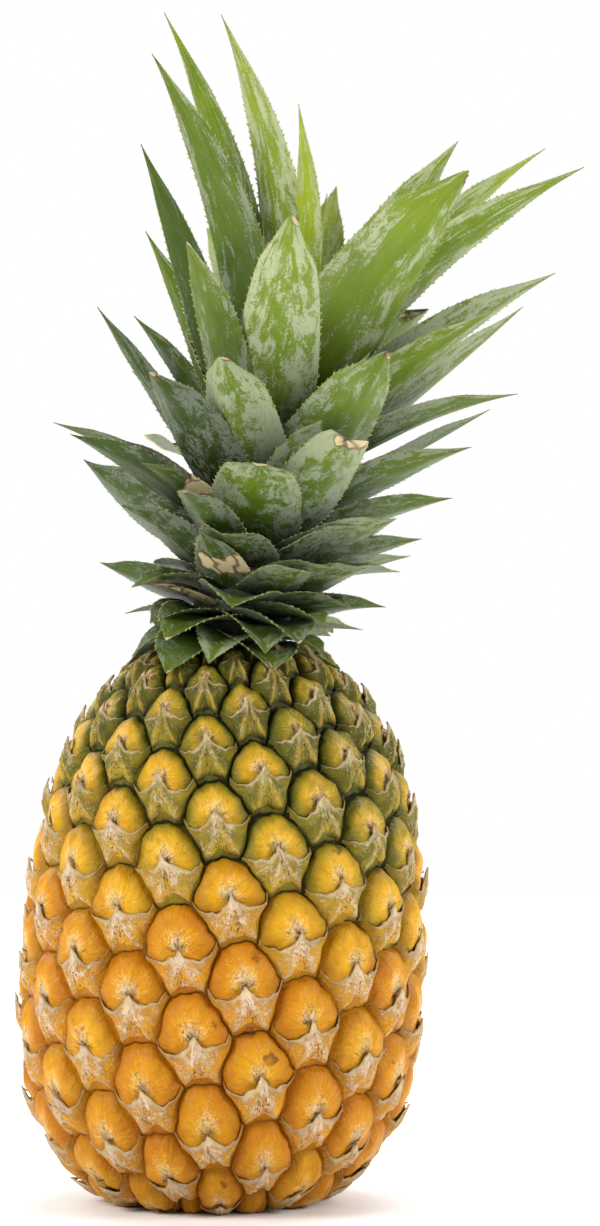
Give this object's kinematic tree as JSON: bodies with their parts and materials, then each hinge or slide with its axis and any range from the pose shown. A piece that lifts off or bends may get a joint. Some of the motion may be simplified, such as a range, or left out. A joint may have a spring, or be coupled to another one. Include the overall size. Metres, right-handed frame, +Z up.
{
  "type": "pineapple",
  "caption": "Fresh ripe pineapple standing on its base, with its spiral of spiked eyes, the cut stalk underneath and a full leafy crown.",
  "frame": {"origin": "middle of the cut stalk's flat end, level with the flat base that the fruit stands on", "axes": "+Z up, from the base towards the crown; -Y is the side that the crown's broad front leaves face; +X to the right seen from there"},
  "size_m": [0.1778, 0.1363, 0.3702],
  "materials": {
    "skin": "satin",
    "leaf": "satin",
    "cut_stalk": "matte"
  },
  "bodies": {
    "root": {"fruit": "skin", "stalk": "cut_stalk", "crown": "leaf"}
  },
  "joints": []
}
